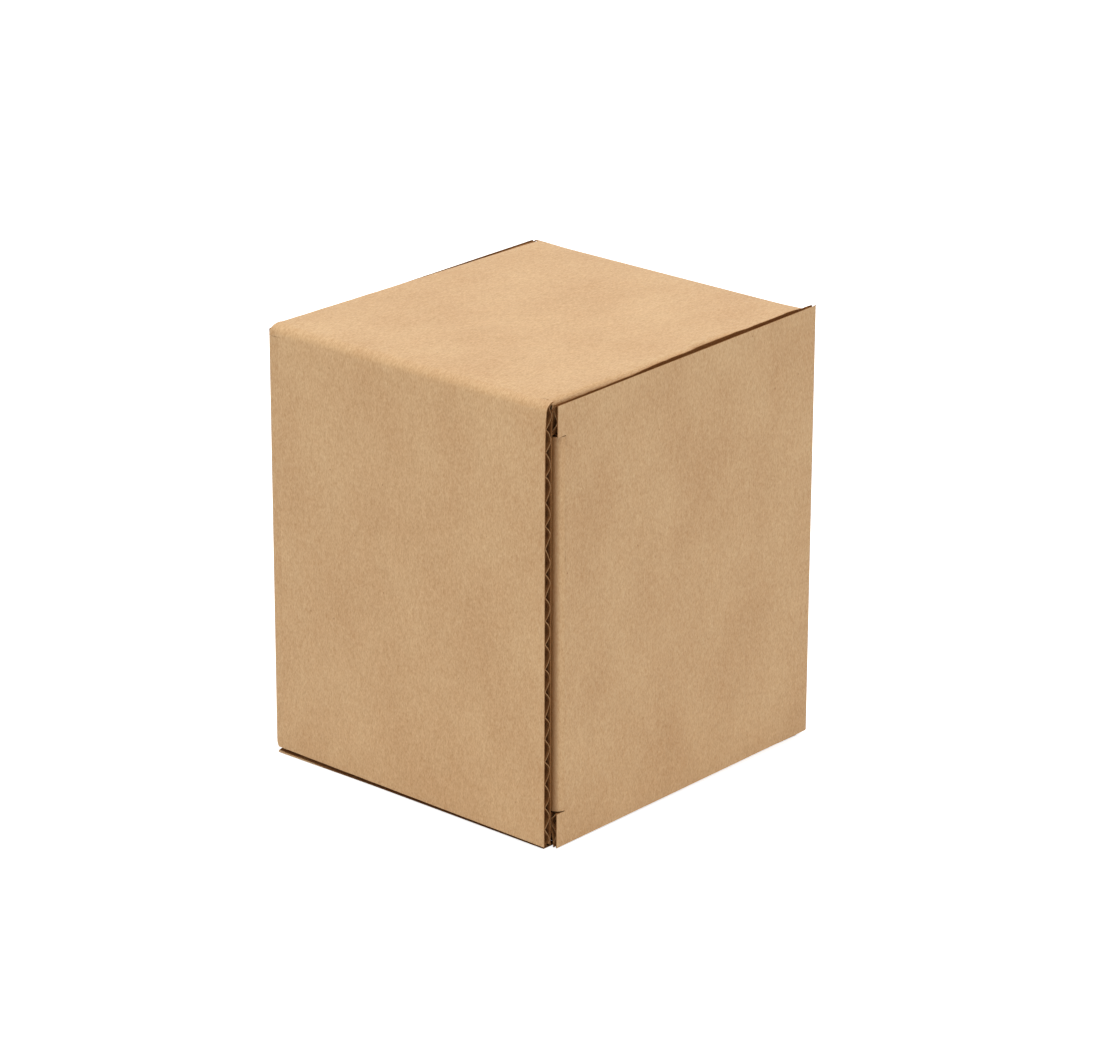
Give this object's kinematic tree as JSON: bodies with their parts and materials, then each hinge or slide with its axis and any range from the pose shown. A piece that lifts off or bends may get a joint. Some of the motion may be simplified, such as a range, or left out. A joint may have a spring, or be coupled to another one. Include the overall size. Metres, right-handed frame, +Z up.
{
  "type": "closed corrugated cardboard box",
  "caption": "Plain kraft corrugated carton lying on its side, with dust flaps and a tuck-in lid over each end.",
  "frame": {"origin": "on the floor under the middle of the box", "axes": "+Z up, +X out of the right lid, along the tube of the carton, -Y out of the front wall"},
  "size_m": [0.098, 0.105, 0.1212],
  "materials": {
    "kraft_board": "uncoated brown kraft liner, matt"
  },
  "bodies": {
    "carton": {"carton_body": "kraft_board"},
    "right_lid": {"right_lid": "kraft_board"},
    "left_lid": {"left_lid": "kraft_board"}
  },
  "joints": [
    {"name": "right_lid_crease", "type": "hinge", "parent": "carton", "child": "right_lid", "pos_m": [0.04775, 0.05125, 0.06], "axis": [0, 0, 1], "range_deg": [0, 180]},
    {"name": "left_lid_crease", "type": "hinge", "parent": "carton", "child": "left_lid", "pos_m": [-0.04775, -0.05125, 0.06], "axis": [0, 0, 1], "range_deg": [0, 180]}
  ]
}
